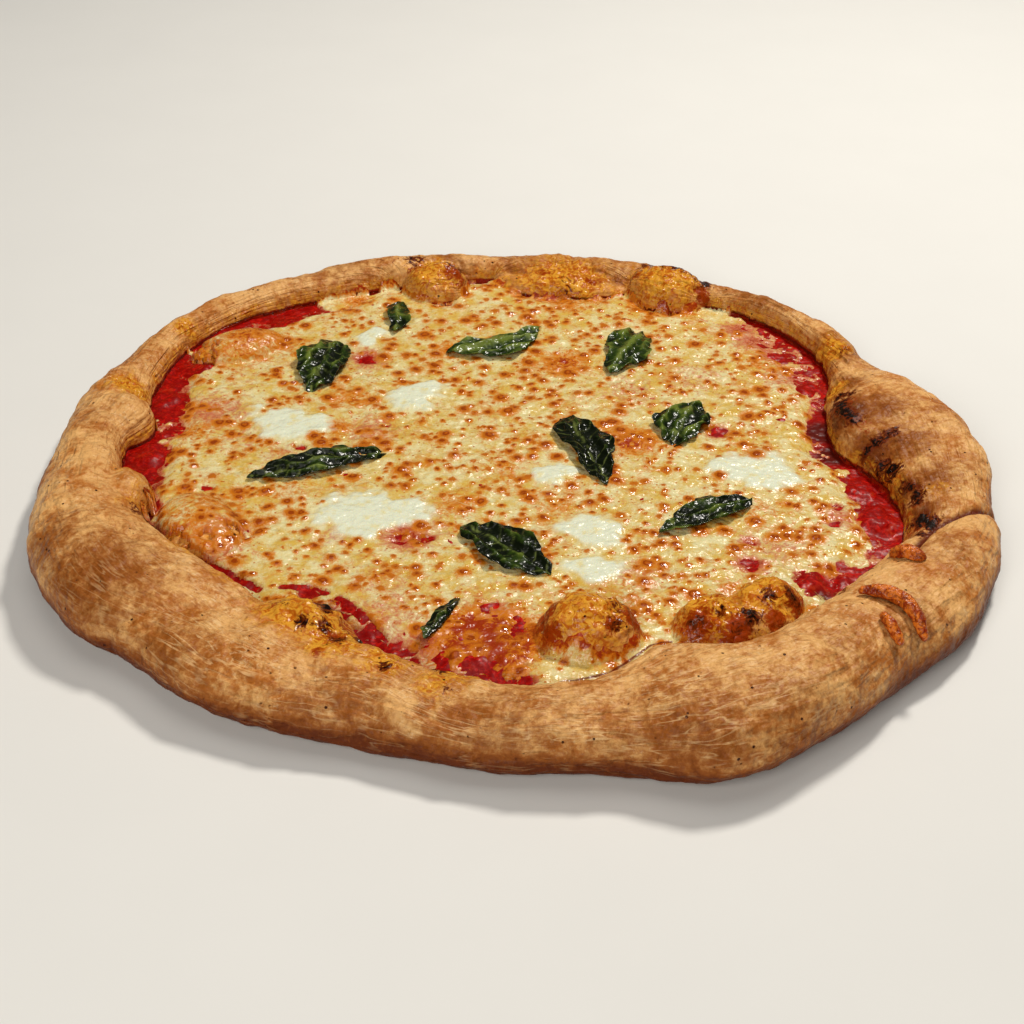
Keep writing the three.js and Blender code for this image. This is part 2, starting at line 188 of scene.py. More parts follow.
# Deep folds in the dough, and the seams where two lobes meet. Along them the colour is darkened with painted
# shade, on the dough and on the cheese.
CREASES = [
    (2.2, 1.0, (150, -68), (157, -56), (165, -46), (176, -39), (190, -32)),
    (1.0, 0.9, (19, -134), (26, -132), (36, -128), (44, -120), (51, -113), (59, -110)),
    (1.6, 0.45, (-141, -122), (-122, -118), (-106, -115), (-90, -110)),
    (1.5, 0.4, (-160, -60), (-150, -70), (-138, -80)), (1.5, 0.5, (140, 98), (146, 84), (150, 70)),
]
# Narrow strips where the sauce shows between the cheese and the dough.
SAUCE_LINES = [
    (2.6, 1.0, (-146, -28), (-143, -38)), (1.9, 0.9, (-122, -64), (-112, -71), (-102, -78), (-93, -84)),
    (2, 1.0, (-84, -83), (-76, -83), (-68, -86)),
    (2.4, 1.0, (-62, -90), (-55, -97), (-49, -105), (-44, -114), (-38, -123)),
    (2.8, 1.0, (-38, -123), (-26, -129)), (3.4, 0.9, (-34, -126), (-20, -131), (-4, -133)),
    (2.4, 0.8, (112, -78), (120, -72), (130, -64)),
]
# Where shreds of cheese lie across the bare sauce.
SHREDDED = [
    (104, 138, 14, 1.0), (114, 124, 14, 1.0), (122, 108, 14, 1.0), (128, 92, 14, 1.0), (130, 76, 12, 1.0),
    (130, 60, 8, 0.8), (-156, 62, 10, 0.6), (-150, 92, 10, 0.7), (-120, 124, 14, 0.5), (-152, 28, 10, 0.8),
    (-30, -124, 12, 0.8), (140, -52, 10, 0.6), (124, 6, 10, 0.5),
]

# Places in the topping where the sauce comes up through the cheese.
SAUCE_SPOTS = [
    (-67, 90, 7, 0.65), (87, 35, 6, 0.75), (-42, -50, 7, 0.5), (-32, -50, 6, 0.55), (92, -61, 6, 0.7),
    (93, -46, 5, 0.5), (-6, -92, 7, 0.55), (5, -102, 7, 0.6), (-14, -112, 5, 0.5), (-30, -124, 12, 0.9),
    (-10, -130, 10, 1.0), (6, -133, 6, 0.8), (-52, -112, 7, 0.9), (-62, -98, 6, 0.9), (-74, -86, 5, 1.0),
    (114, -70, 8, 1.0), (109, 133, 5, 0.8), (122, 120, 6, 0.9), (131, 106, 6, 0.8), (133, 82, 7, 0.9),
    (136, 60, 6, 0.8), (-142, 82, 9, 1.0), (-108, 128, 9, 1.0), (-150, 54, 9, 1.0), (-149, 8, 9, 1.0),
    (-54, 34, 5, 0.5), (60, 62, 5, 0.4), (56, 70, 5, 0.4), (-116, -58, 5, 0.7), (146, -26, 10, 1.0),
    (144, -2, 8, 1.0), (130, -20, 4, 0.7), (128, -32, 4, 0.7), (-88, 14, 3, 0.9), (-122, -18, 4, 0.5),
]
# Where chunks of tomato stand up in the bare sauce: place, size and rise.
SAUCE_LUMPS = [
    (147, -26, 11, 3.2), (142, -4, 8, 1.6), (-142, 80, 9, 1.8), (-151, 54, 8, 1.6), (-150, 8, 9, 1.8),
    (-108, 127, 8, 1.4), (114, -71, 7, 1.2), (120, 104, 7, 1.2), (130, 76, 7, 1.4), (-20, -132, 8, 1.2),
    (-70, -92, 6, 1.0), (-134, 113, 8, 1.2),
]
# Where the sauce is dark: from scorching, and painted shade at the foot of the right lobe, where the rim
# overhangs the sauce.
SCORCHED_AND_SHADED = [
    (133, 40, 12, 1.0), (134, 22, 10, 1.0), (138, 58, 8, 0.8), (-140, -40, 10, 0.8), (-143, -16, 7, 0.5),
    (118, -78, 8, 0.7),
]
# Where the cheese stays pale, with few blisters.
PALE_SPOTS = [
    (25, -124, 15, 1.0), (44, -116, 8, 0.9), (-28, 132, 12, 0.7), (92, 110, 16, 0.6), (72, -50, 12, 0.8),
    (-108, 50, 12, 0.7), (48, -18, 9, 0.8), (-44, 122, 9, 0.7), (-4, -78, 9, 0.7), (108, -14, 12, 0.5),
    (-96, -60, 12, 0.4), (122, 30, 8, 0.5), (64, -24, 11, 0.6), (-100, 62, 11, 0.5), (86, 62, 11, 0.6),
    (104, -34, 11, 0.5), (24, -125, 11, 1.0), (-62, 74, 9, 0.5), (2, 70, 10, 0.4), (56, 44, 9, 0.6),
]
# Where the cheese reaches over the sauce to the rim.
CHEESE_BRIDGES = [
    (-126, -42, 16, 1.0), (-116, -56, 12, 1.0), (-128, 98, 14, 1.0), (-134, 110, 9, 0.7),
    (-136, 99, 9, 1.0), (-147, 34, 8, 0.6), (-146, 18, 6, 0.7), (-60, 156, 10, 1.0), (-25, 160, 16, 1.0),
    (20, 158, 20, 1.0), (60, 152, 16, 1.0), (104, 132, 8, 0.8), (122, 92, 7, 0.8), (128, 104, 5, 0.6),
    (136, 82, 5, 0.6), (88, 147, 11, 1.1), (95, 142, 10, 1.1), (102, 137, 9, 1.1), (10, 150, 14, 1.0),
    (36, 150, 16, 1.0), (60, 146, 14, 1.0), (110, 124, 8, 0.9), (118, 109, 8, 0.9), (126, 96, 7, 0.9),
    (130, 70, 6, 0.7), (-86, 146, 11, 1.1), (-76, 150, 11, 1.1), (-66, 152, 10, 1.0), (-122, 92, 18, 1.1),
    (112, 128, 5, 0.7), (126, 64, 6, 0.7), (130, 96, 4, 0.6), (-152, 36, 4, 0.6), (-154, 26, 4, 0.7),
    (-120, 118, 5, 0.7), (-146, 94, 5, 0.6), (-98, 140, 5, 0.5), (-36, -126, 4, 0.7), (-16, -122, 4, 0.6),
    (-58, -106, 4, 0.5), (137, -16, 6, 0.9), (133, -54, 9, 0.9), (136, 8, 6, 0.9), (137, -4, 5, 0.8),
    (139, -30, 6, 0.8), (138, -44, 6, 0.8), (131, 22, 5, 0.7), (-144, 6, 5, 0.7), (-146, 60, 6, 0.6),
    (104, -66, 6, 0.6), (25, -122, 18, 1.0), (44, -112, 12, 1.0), (-2, -118, 6, 0.5), (-46, -120, 6, 0.6),
    (-122, -64, 7, 0.7),
]
# Where the cheese is thin and the sauce shines through.
THIN_SPOTS = [
    (-4, -120, 13, 0.8), (8, -106, 8, 0.7), (104, 128, 12, 1.0), (118, 104, 12, 1.0), (-67, 90, 9, 1.3),
    (87, 35, 7, 1.3), (-40, -49, 12, 1.25), (92, -61, 8, 1.3), (93, -46, 6, 1.1), (-4, -98, 14, 0.9),
    (-28, -112, 12, 1.1), (110, 116, 14, 1.0), (126, 88, 12, 1.0), (-146, 78, 10, 1.0),
    (-128, 40, 22, 0.75), (-112, 20, 18, 0.5), (-60, 28, 16, 0.7), (-10, -100, 26, 0.6), (50, -70, 16, 0.6),
    (-68, -50, 10, 0.6), (80, 80, 26, 0.5), (120, 84, 18, 0.7), (-67, 88, 16, 0.7), (50, 66, 22, 0.55),
    (-112, -58, 18, 0.8), (104, -50, 18, 0.6), (-14, 36, 26, 0.3), (-44, -100, 26, 0.6),
    (-30, -40, 24, 0.5), (130, -28, 12, 0.8), (-120, 74, 20, 0.4), (-10, 66, 20, 0.3), (-5, 10, 24, 0.3),
    (-96, 8, 14, 0.5), (-46, -80, 22, 0.5),
]
# Low mounds of dough that the cheese covers over.
SMOTHERED = [(24, -128, 9, 0.8), (-122, -40, 30, 1.0), (-120, 97, 30, 1.0), (-122, 92, 18, 1.0)]
# Where orange oil stands on the cheese.
OILY_SPOTS = [
    (50, 26, 14, 1.0), (22, 90, 14, 0.9), (-70, 54, 12, 0.7), (-118, -34, 20, 0.6), (-2, -113, 19, 1.6),
    (-14, -105, 13, 1.3), (-18, -118, 10, 1.2), (14, 156, 11, 0.8), (36, 156, 11, 0.8), (62, 148, 11, 0.8),
    (77, 145, 9, 1.1), (-39, 151, 10, 0.8), (-76, 148, 9, 0.8), (-122, 96, 18, 0.8), (-108, 102, 12, 0.7),
    (-2, -2, 14, 0.5), (-74, 30, 8, 0.8), (-30, 100, 8, 0.8), (108, 96, 12, 0.6), (-100, 98, 12, 0.5),
    (-52, 132, 10, 0.4), (96, 20, 16, 0.4), (112, -6, 12, 0.5), (20, -24, 14, 0.5), (-22, -26, 12, 0.6),
    (-52, -40, 6, 0.9), (90, 8, 10, 0.6), (24, 150, 14, 0.7), (100, -22, 16, 0.5), (86, -80, 12, 0.7),
    (44, -86, 14, 0.5), (-134, 24, 10, 0.7), (-90, -20, 14, 0.4),
]


# Numbers: smooth noise and simple fields
def smoothstep(low, high, value):
    """A soft step from 0 at low to 1 at high. It runs downwards where low is the larger."""
    share = np.clip((value - low) / (high - low), 0, 1)
    return share * share * (3 - 2 * share)


def random_slopes(cell, seed):
    """Three numbers from -1 to 1 for each whole-number cell, the same in every run."""
    x, y, z = (cell[:, axis].astype(np.uint64) for axis in range(3))
    mixed = x * np.uint64(73856093) ^ y * np.uint64(19349663) ^ z * np.uint64(83492791)
    mixed = (mixed + np.uint64(seed * 7919 + 1)) * np.uint64(11400714819323198485)
    mixed = (mixed ^ (mixed >> np.uint64(29))) * np.uint64(13787848793156543929)
    parts = [(mixed >> np.uint64(shift)) & np.uint64(1023) for shift in (10, 25, 40)]
    return np.stack(parts, axis=1) / 511.5 - 1


def noise(points, size, seed):
    """Smooth noise of about -1 to 1, with lumps of the size given."""
    place = points / size
    cell = np.floor(place).astype(np.int64)
    part = place - cell
    ease = part**3 * (part * (part * 6 - 15) + 10)
    total = np.zeros(len(points))
    for corner in itertools.product((0, 1), repeat=3):
        corner = np.array(corner)
        weight = np.prod(np.where(corner == 1, ease, 1 - ease), axis=1)
        total += weight * np.sum(random_slopes(cell + corner, seed) * (part - corner), axis=1)
    return 1.5 * total


def ridges(points, size, seed):
    """Noise from 0 to 1 that is high along narrow winding lines."""
    return 1 - np.clip(np.abs(noise(points, size, seed)) * 2.2, 0, 1)


def spotted(x, y, spots):
    """The strongest of some soft round marks at each place."""
    field = np.zeros(len(x))
    for spot_x, spot_y, size, strength in spots:
        away = np.hypot(x - spot_x, y - spot_y) / size
        field = np.maximum(field, strength * np.exp(-1.2 * away**2))
    return field


def near_lines(x, y, lines):
    """The strongest of some soft lines at each place."""
    field = np.zeros(len(x))
    for width, strength, *places in lines:
        for (ax, ay), (bx, by) in itertools.pairwise(places):
            long = np.hypot(bx - ax, by - ay)
            share = np.clip(((x - ax) * (bx - ax) + (y - ay) * (by - ay)) / long**2, 0, 1)
            away = np.hypot(x - ax - share * (bx - ax), y - ay - share * (by - ay)) / width
            field = np.maximum(field, strength * np.exp(-(away**2)))
    return field


def bearing(points):
    """The bearing of each point from the topping's middle, in degrees."""
    return np.degrees(np.arctan2(points[:, 1], points[:, 0])) % 360


def distance(points):
    """The distance of each point from the topping's middle, seen from above."""
    return np.hypot(points[:, 0], points[:, 1])


def turned_from(at, middle):
    """How many degrees each bearing lies away from a given one."""
    return np.abs((at - middle + 180) % 360 - 180)


# Meshes
def to_scene(points):
    """Points in millimetres from the topping's middle, as metres in the frame."""
    moved = points.copy()
    moved[:, :2] += TOPPING_MIDDLE
    return moved * MM


def mesh_points(mesh):
    """A mesh's vertices in millimetres from the topping's middle."""
    points = np.zeros(len(mesh.vertices) * 3)
    mesh.vertices.foreach_get("co", points)
    points = points.reshape(-1, 3) / MM
    points[:, :2] -= TOPPING_MIDDLE
    return points


def node_points(name):
    """The same for the CAD mesh of a node."""
    return mesh_points(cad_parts[name].data)


def add_piece(name, mesh, slot, *replaced):
    """A visible piece that rides the pizza and takes the place of some CAD nodes."""
    piece = bpy.data.objects.new(name, mesh)
    bpy.context.scene.collection.objects.link(piece)
    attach(piece, "root")
    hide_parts(*replaced)


def build_mesh(name, points, faces):
    """A smooth mesh from places in millimetres and faces."""
    mesh = bpy.data.meshes.new(name)
    mesh.from_pydata(to_scene(points).tolist(), [], faces.tolist())
    mesh.polygons.foreach_set("use_smooth", [True] * len(mesh.polygons))
    mesh.update()
    return mesh


def reshape_mesh(mesh, points, material):
    """Moves a mesh's vertices to new places, and gives it one smooth look."""
    mesh.vertices.foreach_set("co", to_scene(points).ravel())
    mesh.polygons.foreach_set("use_smooth", [True] * len(mesh.polygons))
    mesh.materials.clear()
    mesh.materials.append(material)
    mesh.update()


def paint(mesh, **fields):
    """Keeps each field on the mesh's vertices, where a material can read it by name."""
    for name, values in fields.items():
        kind, key = ("FLOAT_VECTOR", "vector") if values.ndim == 2 else ("FLOAT", "value")
        layer = mesh.attributes.new(name, kind, "POINT")
        layer.data.foreach_set(key, values.astype(np.float32).ravel())


def evaluated_mesh(mesh, *modifiers):
    """A mesh after some modifiers, each given as its type and its settings."""
    helper = bpy.data.objects.new("helper", mesh)
    bpy.context.scene.collection.objects.link(helper)
    for kind, settings in modifiers:
        modifier = helper.modifiers.new(kind, kind)
        for key, value in settings.items():
            setattr(modifier, key, value)
    graph = bpy.context.evaluated_depsgraph_get()
    result = bpy.data.meshes.new_from_object(helper.evaluated_get(graph))
    bpy.data.objects.remove(helper)
    return result


def mesh_normals(mesh):
    """The normal at each vertex of a mesh."""
    normals = np.zeros(len(mesh.vertices) * 3, np.float32)
    mesh.vertex_normals.foreach_get("vector", normals)
    return normals.reshape(-1, 3).astype(float)


def mesh_quads(mesh):
    """The four corners of each face of a mesh of quads."""
    corners = np.zeros(len(mesh.loops), np.int64)
    mesh.loops.foreach_get("vertex_index", corners)
    return corners.reshape(-1, 4)


def renumber(faces):
    """Which vertices some faces use, and the faces with those numbered from 0."""
    used, renumbered = np.unique(faces, return_inverse=True)
    return used, renumbered.reshape(faces.shape)


def outline(points, step=3):
    """A function that gives the outer radius of some points at any bearing."""
    slots = np.round(bearing(points) / step).astype(int) % (360 // step)
    radius = np.zeros(360 // step)
    np.maximum.at(radius, slots, distance(points))
    known = np.flatnonzero(radius)
    return lambda at: np.interp(at, known * step, radius[known], period=360)


def surface_tree(name):
    """A CAD node's surface, ready to be met by rays."""
    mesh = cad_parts[name].data
    places = [vertex.co.copy() for vertex in mesh.vertices]
    return BVHTree.FromPolygons(places, [tuple(face.vertices) for face in mesh.polygons])


def height_under(tree, x, y):
    """The height of a surface at each place, or 0 where there is none."""
    heights = np.zeros(len(x))
    for index, (px, py) in enumerate(zip(x + TOPPING_MIDDLE[0], y + TOPPING_MIDDLE[1])):
        hit = tree.ray_cast(Vector((px * MM, py * MM, 0.1)), Vector((0, 0, -1)))[0]
        if hit:
            heights[index] = hit.z / MM
    return heights


# Materials
def linear(colour):
    """A colour from 0 to 255 as the shader wants it."""
    shares = [value / 255 for value in colour]
    parts = [s / 12.92 if s <= 0.04045 else ((s + 0.055) / 1.055) ** 2.4 for s in shares]
    return (*parts, 1)


class Look:
    """A node material that is built step by step. Most methods give the socket that they make."""

    def __init__(self, name, roughness, specular):
        self.material = bpy.data.materials.new(name)
        self.material.use_nodes = True
        self.tree = self.material.node_tree
        self.shader = self.tree.nodes["Principled BSDF"]
        self.shader.inputs["Roughness"].default_value = roughness
        self.shader.inputs["Specular IOR Level"].default_value = specular
        self.place = self.node("TexCoord", "Object", {})
        self.top = None

    def feed(self, socket, value):
        """Links a socket to another one, or sets it to a number or a colour."""
        if isinstance(value, bpy.types.NodeSocket):
            self.tree.links.new(value, socket)
        else:
            socket.default_value = value

    def node(self, kind, output, inputs, **settings):
        """A new node with its inputs and settings. Gives the output that is asked for."""
        node = self.tree.nodes.new("ShaderNode" + kind)
        for key, value in settings.items():
            setattr(node, key, value)
        for key, value in inputs.items():
            self.feed(node.inputs[key], value)
        return node.outputs[output]

    def field(self, name, output="Fac"):
        """A field that paint has kept on the mesh."""
        return self.node("Attribute", output, {}, attribute_name=name)

    def noise(self, size, detail=4.0, rough=0.55, warp=0.0, at=None):
        """Cloudy noise, around 0.5. At is a place other than the object's own, in millimetres."""
        scale = 1 / size if at else 1 / (size * MM)
        inputs = {"Vector": at or self.place, "Scale": scale, "Detail": detail}
        inputs.update({"Roughness": rough, "Distortion": warp})
        return self.node("TexNoise", "Fac", inputs)

    def cells(self, size):
        """The distance to the nearest of some scattered points, as a share of the size."""
        return self.node("TexVoronoi", "Distance", {"Vector": self.place, "Scale": 1 / (size * MM)})

    def stretched(self, name, lengths):
        """A vector field with each of its three numbers divided by a length in millimetres."""
        inputs = {0: self.field(name, "Vector"), 1: lengths}
        return self.node("VectorMath", "Vector", inputs, operation="DIVIDE")

    def step(self, value, low, high):
        """0 below low and 1 above high, with a soft step between them."""
        inputs = {"Value": value, "From Min": low, "From Max": high}
        return self.node("MapRange", "Result", inputs, interpolation_type="SMOOTHSTEP")

    def lines(self, value, width):
        """1 along the winding lines where a noise passes through its middle, and 0 away from them."""
        folded = self.node("Math", 0, {0: value, 1: 0.5}, operation="PINGPONG")
        return self.step(folded, 0.5 - width, 0.5)

    def sum(self, first, second, weight=1.0):
        """The first value with the second added to it, times a weight."""
        return self.node("Math", 0, {0: second, 1: weight, 2: first}, operation="MULTIPLY_ADD")

    def times(self, first, second):
        """The product of two values."""
        return self.node("Math", 0, {0: first, 1: second}, operation="MULTIPLY")

    def mix(self, share, first, second):
        """The first colour, going over into the second as the share goes from 0 to 1."""
        node = self.tree.nodes.new("ShaderNodeMix")
        node.data_type = "RGBA"
        self.feed(node.inputs["Factor"], share)
        ends = [socket for socket in node.inputs if socket.type == "RGBA"]
        for end, colour in zip(ends, (first, second)):
            self.feed(end, linear(colour) if isinstance(colour, tuple) else colour)
        return next(socket for socket in node.outputs if socket.type == "RGBA")

    def colour(self, value):
        """Gives the shader its colour."""
        self.top = value
        self.feed(self.shader.inputs["Base Color"], value)

    def coat(self, share, colour):
        """Lays another colour over the shader's own, as far as the share goes."""
        self.colour(self.mix(share, self.top, colour))

    def gloss(self, value, low, high):
        """Gives the shader a roughness that goes from low to high as the value goes from 0 to 1."""
        roughness = self.node("MapRange", "Result", {"Value": value, "To Min": low, "To Max": high})
        self.feed(self.shader.inputs["Roughness"], roughness)

    def bump(self, height, distance):
        """Gives the shader fine relief, this many millimetres high."""
        normal = self.node("Bump", "Normal", {"Strength": 1, "Distance": distance * MM, "Height": height})
        self.feed(self.shader.inputs["Normal"], normal)


def dough_look():
    """Dough with pale wrinkles along the rim, browned places, painted shade low on the rim and in the
    creases, golden blisters, char and specks.
    """
    look = Look("baked_dough", 0.5, 0.14)
    patches = look.noise(14, 5, 0.6)
    fine = look.noise(2.2, 4, 0.65, 0.4)
    mottle = look.noise(4.2, 5, 0.7, 0.4)
    shade = look.step(look.sum(look.sum(patches, fine, 0.4), mottle, 0.6), 0.85, 1.2)
    look.colour(look.mix(shade, DOUGH_PALE, DOUGH))
    dust = look.step(look.noise(1.5, 3, 0.6, 0.5), 0.54, 0.68)
    flour = look.times(dust, look.step(look.noise(18, 4), 0.42, 0.6))
    look.coat(look.times(flour, 0.55), DOUGH_FLOUR)
    # Browned places, and painted shade low on the rim's outer face and on the right lobe's inner wall.
    brown = look.sum(look.sum(look.field("toasted"), mottle, 1.3), patches, 0.5)
    look.coat(look.step(brown, 0.9, 1.7), DOUGH_BROWN)
    look.coat(look.step(brown, 1.5, 2.15), DOUGH_DARK)
    crumbs = look.step(look.noise(1.7, 3, 0.65, 0.5), 0.56, 0.7)
    look.coat(look.times(crumbs, 0.4), DOUGH_BROWN)
    wrinkled = look.times(look.field("wrinkled"), look.step(look.noise(9, 4), 0.38, 0.6))
    creases = look.noise(1, 2, 0.5, 0.3, look.stretched("flow", (20, 20, 2.4)))
    pale_lines = look.times(look.lines(creases, 0.04), wrinkled)
    look.coat(look.times(pale_lines, 0.5), DOUGH_LINE)
    dark_lines = look.lines(look.noise(1, 3, 0.6, 0.4, look.stretched("flow", (26, 26, 4))), 0.025)
    look.coat(look.times(look.times(dark_lines, wrinkled), 0.45), DOUGH_BROWN)
    golden = look.sum(look.field("golden"), look.noise(5, 4, 0.65, 0.8), 1.0)
    gold = look.mix(look.step(look.noise(3.5, 4, 0.65, 1.5), 0.42, 0.6), GOLD_LIGHT, GOLD_DEEP)
    look.coat(look.step(golden, 0.8, 1.3), gold)
    scald = look.sum(look.field("scalded"), look.noise(3.6, 5, 0.7, 1.4), 1.6)
    look.coat(look.step(scald, 1.25, 1.55), SCALD)
    look.coat(look.step(scald, 1.72, 1.95), SCALD_DARK)
    char = look.sum(look.field("charred"), look.noise(3.4, 6, 0.72, 1.2), 2.4)
    look.coat(look.step(char, 1.55, 1.75), CHAR_BROWN)
    look.coat(look.step(char, 1.84, 1.98), CHAR)
    red = look.sum(look.field("stain"), look.noise(4, 4), 0.6)
    look.coat(look.step(red, 0.75, 1.05), DOUGH_STAIN)
    # Painted shade along the creases and seams.
    look.coat(look.step(look.field("crease"), 0.35, 0.95), DOUGH_CREASE_SHADE)
    specks = look.times(look.step(look.cells(4.2), 0.14, 0.07), look.step(look.noise(8, 2), 0.52, 0.6))
    look.coat(specks, DOUGH_SPECK)
    look.gloss(look.step(golden, 0.8, 1.3), 0.46, 0.18)
    height = look.sum(look.sum(look.noise(3.0, 1.5, 0.5), creases, 1.1), look.noise(8, 2), 1.4)
    look.bump(look.sum(height, specks, -0.8), 1.3)
    return look.material


def cheese_look():
    """Cheese from cream to amber, thin and pink over the sauce, with brown blisters whose lighter middles
    are a painted highlight, white pools, and a seam of painted shade at the rim.
    """
    look = Look("melted_cheese", 0.3, 0.3)
    fine = look.noise(1.3, 4, 0.7, 1.2)
    broad = look.sum(look.noise(7, 4, 0.65), fine, 0.35)
    look.colour(look.mix(look.step(broad, 0.5, 0.85), CREAM, BUTTER))
    tan = look.sum(look.noise(4.4, 5, 0.72, 1.6), look.noise(16, 3), 0.7)
    look.coat(look.times(look.step(tan, 0.88, 1.06), 0.65), TAN)
    thin = look.sum(look.field("thin"), look.noise(3.4, 5, 0.7, 1.4), 1.9)
    look.coat(look.step(thin, 1.2, 1.85), PINK)
    look.coat(look.step(thin, 1.75, 2.25), SAUCE_THROUGH)
    oil = look.sum(look.field("oil"), look.noise(3.4, 5, 0.7, 1.2), 2.1)
    look.coat(look.step(oil, 1.2, 1.8), AMBER)
    look.coat(look.step(oil, 1.75, 2.1), OIL_DARK)
    white = look.field("white")
    milk = look.mix(look.step(look.noise(5, 4), 0.5, 0.7), MILK, CREAM)
    look.coat(look.step(look.sum(white, fine, 0.3), 0.3, 1.0), milk)
    halo = look.sum(look.field("halo"), fine, 0.7)
    look.coat(look.step(halo, 0.55, 1.0), AMBER)
    spot = look.sum(look.field("spot"), fine, 0.35)
    look.coat(look.step(spot, 0.46, 0.6), SPOT_RING)
    look.coat(look.step(spot, 0.72, 0.9), TOAST)
    # Painted highlight: the middles of the strongest blisters are lighter, like a glossy top.
    look.coat(look.step(spot, 1.0, 1.2), SPOT_MIDDLE_HIGHLIGHT)
    dots = look.times(look.step(look.cells(2.8), 0.22, 0.1), look.step(look.noise(9, 3), 0.42, 0.55))
    dots = look.times(dots, look.step(white, 0.3, 0.05))
    look.coat(dots, DOT)
    scald = look.sum(look.field("scalded"), look.noise(3.6, 5, 0.7, 1.4), 1.6)
    look.coat(look.step(scald, 1.3, 1.8), CHEESE_SCALD)
    char = look.sum(look.field("charred"), look.noise(2.6, 5, 0.75, 1.6), 2.2)
    look.coat(look.step(char, 1.5, 1.9), CHEESE_CHAR)
    # Painted shade where the cheese meets the front rim and along the creases.
    look.coat(look.step(look.field("crease"), 0.45, 0.9), CHEESE_CREASE_SHADE)
    look.gloss(look.step(look.sum(broad, spot, 0.5), 0.55, 1.1), 0.34, 0.14)
    look.bump(look.sum(look.noise(3.4, 1.5, 0.5), look.noise(1.5, 1), 0.2), 1.1)
    look.shader.inputs["Subsurface Weight"].default_value = 0.08
    look.shader.inputs["Subsurface Radius"].default_value = (0.003, 0.002, 0.001)
    return look.material


def sauce_look():
    """Wet red sauce with lighter pulp, orange places, and dark places from scorching and from painted shade
    under the overhanging rim.
    """
    look = Look("tomato_sauce", 0.22, 0.14)
    pulp = look.noise(2.2, 6, 0.7, 0.8)
    look.colour(look.mix(look.step(pulp, 0.44, 0.7), TOMATO, TOMATO_LIGHT))
    look.coat(look.step(look.noise(6, 5, 0.7), 0.56, 0.72), TOMATO_ORANGE)
    # Dark places, from scorching and from painted shade under the overhanging rim.
    scorched = look.sum(look.field("scorched"), pulp, 0.8)
    look.coat(look.step(scorched, 0.7, 1.2), TOMATO_SCORCH_AND_SHADE)
    look.gloss(pulp, 0.5, 0.2)
    look.bump(look.sum(look.noise(3.6, 1), look.noise(8, 2), 2.0), 0.6)
    return look.material


def basil_look():
    """Dark wet green, with painted light along the tops of the folds and painted shade in their hollows, and
    pale veins.
    """
    look = Look("wilted_basil", 0.24, 0.27)
    patches = look.noise(7, 5, 0.65, 1.0)
    # Painted light and shade: the colour follows the height of the folds, lighter on their tops and darker
    # in their hollows, mixed with patches that differ in tone.
    shade = look.sum(look.sum(look.field("fold"), patches, 1.2), look.field("pale"))
    look.colour(look.mix(look.step(shade, 0.7, 1.15), LEAF_DARK, LEAF))
    look.coat(look.step(shade, 1.05, 1.5), LEAF_CREST_LIGHT)
    look.coat(look.times(look.field("vein"), look.step(patches, 0.4, 0.6)), LEAF_VEIN)
    look.gloss(patches, 0.36, 0.1)
    look.bump(look.sum(look.noise(2.4, 1), look.noise(6, 2), 1.5), 0.6)
    return look.material


def drip_look():
    """Cheese browned on the rim, with dark winding stripes."""
    look = Look("browned_cheese", 0.3, 0.25)
    patches = look.noise(3.5, 6, 0.65, 1.0)
    look.colour(look.mix(look.step(patches, 0.4, 0.62), DRIP_LIGHT, DRIP_DARK))
    stripes = look.lines(look.noise(4, 2, 0.5, 0.8), 0.05)
    look.coat(look.times(stripes, 0.7), DRIP_STRIPE)
    look.gloss(patches, 0.22, 0.4)
    look.bump(look.noise(2.0, 2), 1.2)
    return look.material


def floor_look():
    """A plain pale floor, very slightly uneven in tone."""
    look = Look("pale_floor", 0.8, 0.2)
    look.colour(look.mix(look.noise(60, 3), FLOOR, FLOOR_SHADE))
    return look.material


# Dough
def rim_core(points):
    """A function that gives the radius of the rim's crest at any bearing."""
    step = 4
    at = bearing(points)
    radius = distance(points)
    crest = np.zeros(360 // step)
    for index in range(len(crest)):
        near = (turned_from(at, index * step) < step) & (radius > 150)
        top = np.argmax(np.where(near, points[:, 2], -1))
        crest[index] = radius[top]
    crest = (np.roll(crest, 1) + 2 * crest + np.roll(crest, -1)) / 4
    return lambda values: np.interp(values, np.arange(0, 360, step), crest, period=360)


def rim_flow(points, core):
    """Places along the rim and round its section, in millimetres, for wrinkles that follow it."""
    at = bearing(points)
    away = distance(points) - core(at)
    angle = np.arctan2(points[:, 2] - RIM_HEIGHT, away)
    along = RIM_RADIUS * np.stack([np.cos(np.radians(at)), np.sin(np.radians(at))], axis=1)
    return along, SECTION_RADIUS * angle


def stretched(flow, long, short):
    """Flow places scaled so that noise on them is long one way and short the other."""
    along, across = flow
    return np.column_stack([along / long, across / short])


def front_share(at):
    """How much of the long wrinkles a bearing has: most at the front."""
    return 0.22 + 0.78 * smoothstep(60, 25, turned_from(at, WRINKLED_BEARING))


def crust_skin():
    """The CAD dough with an even skin and its facets smoothed, without the faces that never show."""
    remesh = ("REMESH", {"mode": "VOXEL", "voxel_size": SKIN_CELL * MM})
    smooth = ("SMOOTH", {"factor": 0.5, "iterations": SKIN_SMOOTHING})
    skin = evaluated_mesh(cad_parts["crust"].data.copy(), remesh, smooth)
    points, faces = mesh_points(skin), mesh_quads(skin)
    foot = outline(node_points("sauce"))
    high = points[:, 2][faces]
    radius = distance(points)
    inside = radius[faces].max(axis=1) < foot(bearing(points))[faces[:, 0]] - 6
    hidden = (high.max(axis=1) < 0.6) | (inside & (high.max(axis=1) < BASE_TOP + 0.6))
    used, faces = renumber(faces[~hidden])
    return points[used], mesh_normals(skin)[used], faces, foot


